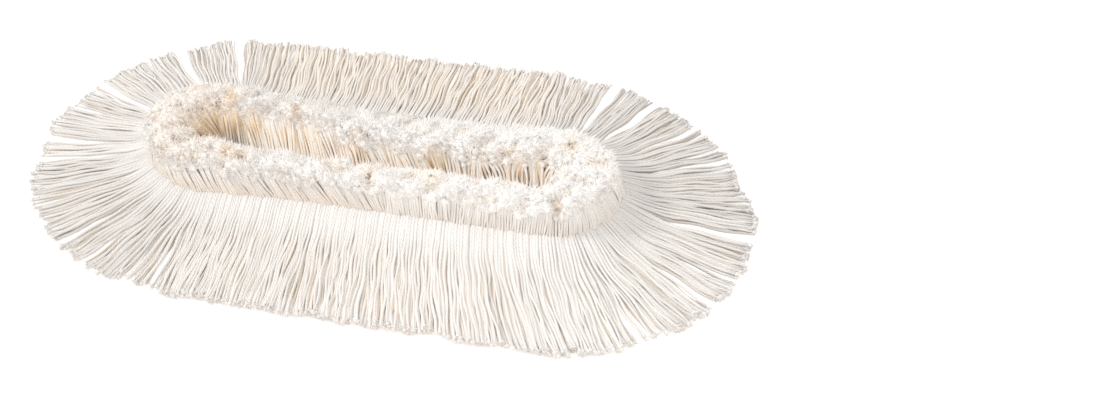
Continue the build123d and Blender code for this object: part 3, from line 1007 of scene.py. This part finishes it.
def group_node(tree, name, inputs):
    """Outputs of a shared group placed in a material with its own values."""
    return add(tree, "ShaderNodeGroup", inputs, node_tree=bpy.data.node_groups[name]).outputs


def cotton_finish(tree, shader, base, tone, bump, values, fleck=None):
    """Tones and flecks a base colour, and sets the shader with it, its bump and its plain values."""
    grey = output(tree, "ShaderNodeCombineColor", {0: tone, 1: tone, 2: tone})
    base = mixed(tree, 1.0, base, grey, "MULTIPLY")
    if fleck:
        base = mixed(tree, fleck[0], base, colour(fleck[1]))
    tree.links.new(base, shader.inputs["Base Color"])
    tree.links.new(output(tree, "ShaderNodeBump", bump), shader.inputs["Normal"])
    for key, value in values.items():
        shader.inputs[key].default_value = value


def yarn_material(name, unshaded_colour_and_painted_light, deep, twist_pitch):
    """Plied cotton yarn: its own colour at the cut ends, painted warmer as shade where it stands deep among
    its neighbours.
    """
    material, tree, shader = blank_material(name)
    twist = group_node(tree, "Ply twist", {"Plies": 4.0, "Pitch": twist_pitch, "Fibre": 0.35})
    mottle = group_node(tree, "Cotton mottle", {"Scale": 90.0, "Amount": 0.10, "Flecks": 0.25})
    read = [add(tree, "ShaderNodeAttribute", attribute_name=key) for key in ("warmth", "depth", "shade")]
    warmth, depth, shade = [node.outputs["Fac"] for node in read]
    # Painted warm shade: the deep colour stands in for shade and light bounced among the yarns
    base = mixed(tree, maths(tree, "ADD", warmth, depth), colour(unshaded_colour_and_painted_light), colour(deep))
    # Painted shade in the grooves between the plies
    groove_shade = maths(tree, "MULTIPLY_ADD", twist["Groove"], -0.26, 1.0)
    # Painted shade from the yarn's place, with a random tone, darkens the colour with the mottle and the
    # groove shade
    tone = maths(tree, "MULTIPLY", maths(tree, "MULTIPLY", shade, mottle["Tone"]), groove_shade)
    cotton_finish(tree, shader, base, tone,
                  {"Strength": 0.4, "Distance": 0.5 * MM, "Height": twist["Height"]},
                  {"Roughness": 0.95, "Specular IOR Level": 0.1},
                  (mottle["Fleck"], (0.50, 0.40, 0.28)))
    return material


def cloth_material(name, cloth_colour, thread, amount):
    """Woven cotton cloth on Object coordinates."""
    material, tree, shader = blank_material(name)
    spot = add(tree, "ShaderNodeTexCoord").outputs["Object"]
    weave = group_node(tree, "Plain weave", {"Place": spot, "Thread": thread})
    mottle = group_node(tree, "Cotton mottle", {"Scale": 35.0, "Amount": amount, "Flecks": 0.35})
    # Painted shade: the cloth colour darkens in the gaps of the weave
    gap = maths(tree, "MULTIPLY", weave["Gap"], 0.4)
    base = mixed(tree, gap, colour(cloth_colour), colour(cloth_colour, 0.62))
    cotton_finish(tree, shader, base, mottle["Tone"],
                  {"Strength": 0.6, "Distance": 0.4 * MM, "Height": weave["Height"]},
                  {"Roughness": 0.92, "Specular IOR Level": 0.2, "Sheen Weight": 0.1},
                  (mottle["Fleck"], (0.55, 0.48, 0.38)))
    return material


def thread_material(name, thread_colour):
    """Sewing thread with weak lines along its twist, painted darker as shade in its grooves."""
    material, tree, shader = blank_material(name)
    spot = add(tree, "ShaderNodeTexCoord").outputs["Object"]
    lines = add(tree, "ShaderNodeTexWave", {"Vector": spot, "Scale": 900.0, "Distortion": 2.0},
                bands_direction="DIAGONAL").outputs["Fac"]
    mottle = group_node(tree, "Cotton mottle", {"Scale": 200.0, "Amount": 0.12, "Flecks": 0.0})
    twist_groove_shade = maths(tree, "MULTIPLY", lines, 0.25)
    base = mixed(tree, twist_groove_shade, colour(thread_colour), colour(thread_colour, 0.7))
    cotton_finish(tree, shader, base, mottle["Tone"],
                  {"Strength": 0.4, "Distance": 0.2 * MM, "Height": lines},
                  {"Roughness": 0.75})
    return material


# Settings

def length_setting(name, description, millimetres):
    """Setting for a length, given in mm."""
    return FloatProperty(name=name, description=description, default=millimetres * MM, unit="LENGTH",
                         subtype="DISTANCE", precision=4)


def colour_setting(name, description, default):
    """Setting for a colour."""
    return FloatVectorProperty(name=name, description=description, default=default, subtype="COLOR", size=3)


def count_setting(name, description, default):
    """Setting for a whole number."""
    return IntProperty(name=name, description=description, default=default)


def share_setting(name, description, default):
    """Setting for a share of one."""
    return FloatProperty(name=name, description=description, default=default, subtype="FACTOR")


def strength_setting(name, description, default):
    """Setting for the strength of a light."""
    return FloatProperty(name=name, description=description, default=default)


class MopYarnSettings(bpy.types.PropertyGroup):
    """Sizes and colours of the yarns."""

    diameter: length_setting("Fringe yarn", "Diameter of a fringe yarn", 2.15)
    fringe_pitch: length_setting("Fringe pitch", "Spacing of the yarns in one layer at the bound edge", 2.4)
    fringe_layers: count_setting("Front layers", "Layers of yarn along the front", 4)
    back_layers: count_setting("Back layers", "Layers of yarn along the back", 3)
    end_layers: count_setting("End layers", "Layers of yarn round the ends, where it fans out", 4)
    fringe_steps: count_setting("Fringe steps", "Points along a fringe yarn", 14)
    pile_diameter: length_setting("Pile yarn", "Diameter of a standing yarn", 2.3)
    pile_pitch: length_setting("Pile pitch", "Spacing of the yarns in a row inside the ring", 2.8)
    pile_face_pitch: length_setting("Face pitch", "Spacing of the yarns in a row that shows", 2.0)
    pile_close_out: share_setting("Outer close", "How far out the outer cut ends stay, of their roots", 0.80)
    pile_close_in: share_setting("Inner close", "How far in the inner cut ends stay, of their roots", 0.45)
    pile_steps: count_setting("Pile steps", "Points along a standing yarn", 6)
    twist_pitch: length_setting("Twist", "Length of one turn of the plies", 15)
    fringe_end: length_setting("Fringe end", "Length of a frayed fringe end", 4.0)
    pile_end: length_setting("Pile end", "Length of a fluffy pile end", 6.4)
    fringe_colour: colour_setting("Fringe", "Clean fringe yarn", (0.935, 0.905, 0.88))
    # Painted warm shade for the fringe low in its layers
    fringe_deep_shade: colour_setting("Fringe, deep", "Fringe yarn low in the layer", (0.90, 0.77, 0.62))
    pile_colour: colour_setting("Pile", "Fluffy cut ends", (0.97, 0.95, 0.935))
    # Painted warm shade for the standing yarn near its root and in the hollows
    pile_deep_shade: colour_setting("Pile, deep", "Standing yarn near its root", (0.94, 0.72, 0.48))


class MopClothSettings(bpy.types.PropertyGroup):
    """Sizes and colours of the cloth back, its tape and its thread."""

    thickness: length_setting("Cloth", "Thickness of the canvas and the tape", 1.0)
    binding_width: length_setting("Binding", "How far the tape reaches in on the back", 10)
    wall_width: length_setting("Pocket wall", "Width of the slope round a pocket's floor", 7)
    hem_width: length_setting("Hem", "Width of the hem in a pocket's mouth", 10)
    stitch_pitch: length_setting("Stitch pitch", "Distance from stitch to stitch", 4.0)
    stitch_length: length_setting("Stitch", "Length of a stitch", 3.3)
    thread: length_setting("Thread", "Thickness of the sewing thread", 0.75)
    weave: length_setting("Weave", "Spacing of the canvas threads", 0.8)
    canvas_colour: colour_setting("Canvas", "Canvas of the back", (0.80, 0.79, 0.76))
    tape_colour: colour_setting("Tape", "Binding tape", (0.76, 0.76, 0.745))
    thread_colour: colour_setting("Thread", "Sewing thread", (0.86, 0.85, 0.82))


class MopStageSettings(bpy.types.PropertyGroup):
    """Lamps and floor."""

    floor_size: length_setting("Floor", "Side of the floor", 40000)
    sky: strength_setting("Room light", "Strength of the even light from all round", 0.83)
    key: strength_setting("Key lamp", "Strength of the large soft lamp on the left", 1.2)
    front: strength_setting("Front lamp", "Strength of the large soft lamp in front", 0.5)


class MopSettings(bpy.types.PropertyGroup):
    """Everything that can be set on the mop head."""

    yarn: PointerProperty(type=MopYarnSettings)
    cloth: PointerProperty(type=MopClothSettings)
    stage: PointerProperty(type=MopStageSettings)


# Operators

def sew_on(piece, node):
    """Fixes a piece to the head in place of its node."""
    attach(piece, "head")
    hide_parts(node)


class MOP_OT_canvas_back(bpy.types.Operator):
    """Make the canvas base and the two end pockets"""

    bl_idname = "mop.canvas_back"
    bl_label = "Canvas back"

    def execute(self, context):
        cloth = context.scene.mop_head.cloth
        canvas = cloth_material("canvas", cloth.canvas_colour, cloth.weave, 0.14)
        mesh = cloth_mesh("base_canvas", base_cloth_grids(cloth))
        base = solid_cloth("base_canvas", mesh, cloth.thickness, canvas)
        sew_on(base, "base_cloth")
        pockets = {"right_pocket": ("front", "right", "back"), "left_pocket": ("back", "left", "front")}
        for node, parts in pockets.items():
            mesh = cloth_mesh(node, pocket_grids(cloth, parts))
            pocket = solid_cloth(node + "_canvas", mesh, cloth.thickness, canvas)
            sew_on(pocket, node)
        return {"FINISHED"}


class MOP_OT_edge_binding(bpy.types.Operator):
    """Make the tape that binds the edge all round"""

    bl_idname = "mop.edge_binding"
    bl_label = "Edge binding"

    def execute(self, context):
        cloth = context.scene.mop_head.cloth
        tape = cloth_material("binding_tape", cloth.tape_colour, cloth.weave * 0.8, 0.10)
        mesh = cloth_mesh("edge_binding", binding_grids(cloth))
        piece = solid_cloth("edge_binding_tape", mesh, cloth.thickness, tape)
        sew_on(piece, "edge_binding")
        return {"FINISHED"}


class MOP_OT_stitching(bpy.types.Operator):
    """Make the rows of lock stitches on the back"""

    bl_idname = "mop.stitching"
    bl_label = "Stitching"

    def execute(self, context):
        cloth = context.scene.mop_head.cloth
        template = stitch_template()
        inputs = {
            "Stitch": template, "Pitch": cloth.stitch_pitch, "Length": cloth.stitch_length,
            "Thread": cloth.thread, "Material": thread_material("sewing_thread", cloth.thread_colour),
        }
        seams = new_object("seams", seam_mesh(cloth))
        piece = grown_by_nodes(seams, stitch_tree(), inputs, "lock_stitches")
        bpy.data.objects.remove(template)
        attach(piece, "head")
        return {"FINISHED"}


class MOP_OT_fringe(bpy.types.Operator):
    """Make the flat fringe of cut yarns, one piece for each sewn bundle"""

    bl_idname = "mop.fringe"
    bl_label = "Fringe"

    def execute(self, context):
        yarn = context.scene.mop_head.yarn
        material = yarn_material("fringe_yarn", yarn.fringe_colour, yarn.fringe_deep_shade, yarn.twist_pitch)
        inputs = {
            "Yarn radius": yarn.diameter / 2, "Sides": 8, "End size": yarn.fringe_end, "Material": material,
        }
        frayed = (10, 0.95, 0.32)
        pieces = yarn_pieces("fringe", fringe_guides, yarn, FRINGE_SEED, FRINGE_BUNDLES, frayed, inputs, {})
        for piece, stretch, node in pieces:
            outward = Vector((*facing(stretch), 0))
            flap = f"{stretch}_fringe_flap"
            if node in frame["record"]["behaviour"]["bodies"][flap]:
                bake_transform(piece)
            else:
                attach(piece, "head")
            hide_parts(node)
        return {"FINISHED"}


class MOP_OT_standing_pile(bpy.types.Operator):
    """Make the ring of standing yarns with fluffy cut ends, one piece for each sewn bundle"""

    bl_idname = "mop.standing_pile"
    bl_label = "Standing pile"

    def execute(self, context):
        yarn = context.scene.mop_head.yarn
        material = yarn_material("pile_yarn", yarn.pile_colour, yarn.pile_deep_shade, yarn.twist_pitch)
        inputs = {
            "Yarn radius": yarn.pile_diameter / 2, "Sides": 6, "End size": yarn.pile_end,
            "Material": material,
        }
        fluffy, swollen = (14, 1.5, 0.42), {"left": 1.06}
        pieces = yarn_pieces("pile", pile_guides, yarn, PILE_SEED, PILE_BUNDLES, fluffy, inputs, swollen)
        for piece, _, node in pieces:
            sew_on(piece, node)
        return {"FINISHED"}


class MOP_OT_stage(bpy.types.Operator):
    """Make the camera, the lamps and the pale floor"""

    bl_idname = "mop.stage"
    bl_label = "Stage"

    def execute(self, context):
        stage = context.scene.mop_head.stage
        make_camera()
        make_light(stage)
        make_floor(stage)
        return {"FINISHED"}


def make_camera():
    """Camera at the photograph's viewing angle."""
    elevation, azimuth, distance = math.radians(43.0), math.radians(11.4), 745 * MM
    target = Vector((14 * MM, -34 * MM, 0))
    image_width, principal_x, focal = 1098, 392, 900
    right = Vector((math.cos(azimuth), math.sin(azimuth), 0))
    back = Vector((right.y, -right.x, 0)) * math.cos(elevation) + Vector((0, 0, math.sin(elevation)))
    data = bpy.data.cameras.new("camera")
    data.sensor_fit = "HORIZONTAL"
    data.sensor_width = 36.0
    data.lens = data.sensor_width * focal / image_width
    data.shift_x = 0.5 - principal_x / image_width
    data.clip_start = 0.01
    camera = bpy.data.objects.new("camera", data)
    bpy.context.scene.collection.objects.link(camera)
    turn = Matrix((right, back.cross(right), back)).transposed()
    camera.matrix_world = Matrix.Translation(target + back * distance) @ turn.to_4x4()
    bpy.context.scene.camera = camera


def make_light(stage):
    """Even room light and two large soft lamps, from the upper left and from the front."""
    scene = bpy.context.scene
    scene.view_settings.view_transform = "Standard"
    world = bpy.data.worlds.new("room")
    world.use_nodes = True
    background = world.node_tree.nodes["Background"]
    background.inputs[0].default_value = (1.0, 0.98, 0.955, 1.0)
    background.inputs[1].default_value = stage.sky
    scene.world = world
    lamps = (("key_lamp", stage.key, (-0.95, -0.1, 0.68)), ("front_lamp", stage.front, (0.1, -0.9, 0.85)))
    for name, strength, place in lamps:
        place = Vector(place)
        data = bpy.data.lights.new(name, "SUN")
        data.angle = math.radians(15)
        data.energy = strength
        data.color = (0.97, 0.985, 1.0)
        lamp = bpy.data.objects.new(name, data)
        lamp.matrix_world = Matrix.Translation(place) @ place.to_track_quat("Z", "Y").to_matrix().to_4x4()
        scene.collection.objects.link(lamp)


def make_floor(stage):
    """Pale floor that the camera sees as white and that keeps the soft shadow."""
    half = stage.floor_size / 2
    mesh = bpy.data.meshes.new("floor")
    corners = [(-half, -half, 0), (half, -half, 0), (half, half, 0), (-half, half, 0)]
    mesh.from_pydata(corners, [], [(0, 1, 2, 3)])
    floor = new_object("floor", mesh)
    material, tree, shader = blank_material("floor")
    values = {"Base Color": (0.93, 0.93, 0.93, 1.0), "Roughness": 0.9, "Specular IOR Level": 0.0,
              "Emission Color": (1.0, 1.0, 1.0, 1.0)}
    for key, value in values.items():
        shader.inputs[key].default_value = value
    seen = add(tree, "ShaderNodeLightPath").outputs["Is Camera Ray"]
    tree.links.new(maths(tree, "MULTIPLY", seen, 0.5), shader.inputs["Emission Strength"])
    mesh.materials.append(material)
    floor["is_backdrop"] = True


class MOP_PT_sidebar(bpy.types.Panel):
    """Lists the pieces of the mop head"""

    bl_idname = "MOP_PT_sidebar"
    bl_label = "Mop head"
    bl_space_type = "VIEW_3D"
    bl_region_type = "UI"
    bl_category = "Mop head"

    def draw(self, context):
        for operator in OPERATORS:
            self.layout.operator(operator.bl_idname)


OPERATORS = (MOP_OT_edge_binding, MOP_OT_canvas_back, MOP_OT_stitching, MOP_OT_standing_pile, MOP_OT_fringe,
             MOP_OT_stage)
CLASSES = (MopYarnSettings, MopClothSettings, MopStageSettings, MopSettings, *OPERATORS, MOP_PT_sidebar)


def register():
    """Registers every class and the settings of the scene."""
    for item in CLASSES:
        bpy.utils.register_class(item)
    bpy.types.Scene.mop_head = PointerProperty(type=MopSettings)


def unregister():
    """Takes the settings and the classes away again."""
    del bpy.types.Scene.mop_head
    for item in reversed(CLASSES):
        bpy.utils.unregister_class(item)


def main():
    """Makes every piece in order."""
    register()
    for build in (ply_twist_group, mottle_group, weave_group):
        build()
    bpy.ops.mop.edge_binding()
    bpy.ops.mop.canvas_back()
    bpy.ops.mop.stitching()
    bpy.ops.mop.standing_pile()
    bpy.ops.mop.fringe()
    bpy.ops.mop.stage()
    boxes = {"cad": CAD_BOX, "visual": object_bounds()}
    {key: [list(corner) for corner in box] for key, box in boxes.items()}


if __name__ == "__main__":
    main()
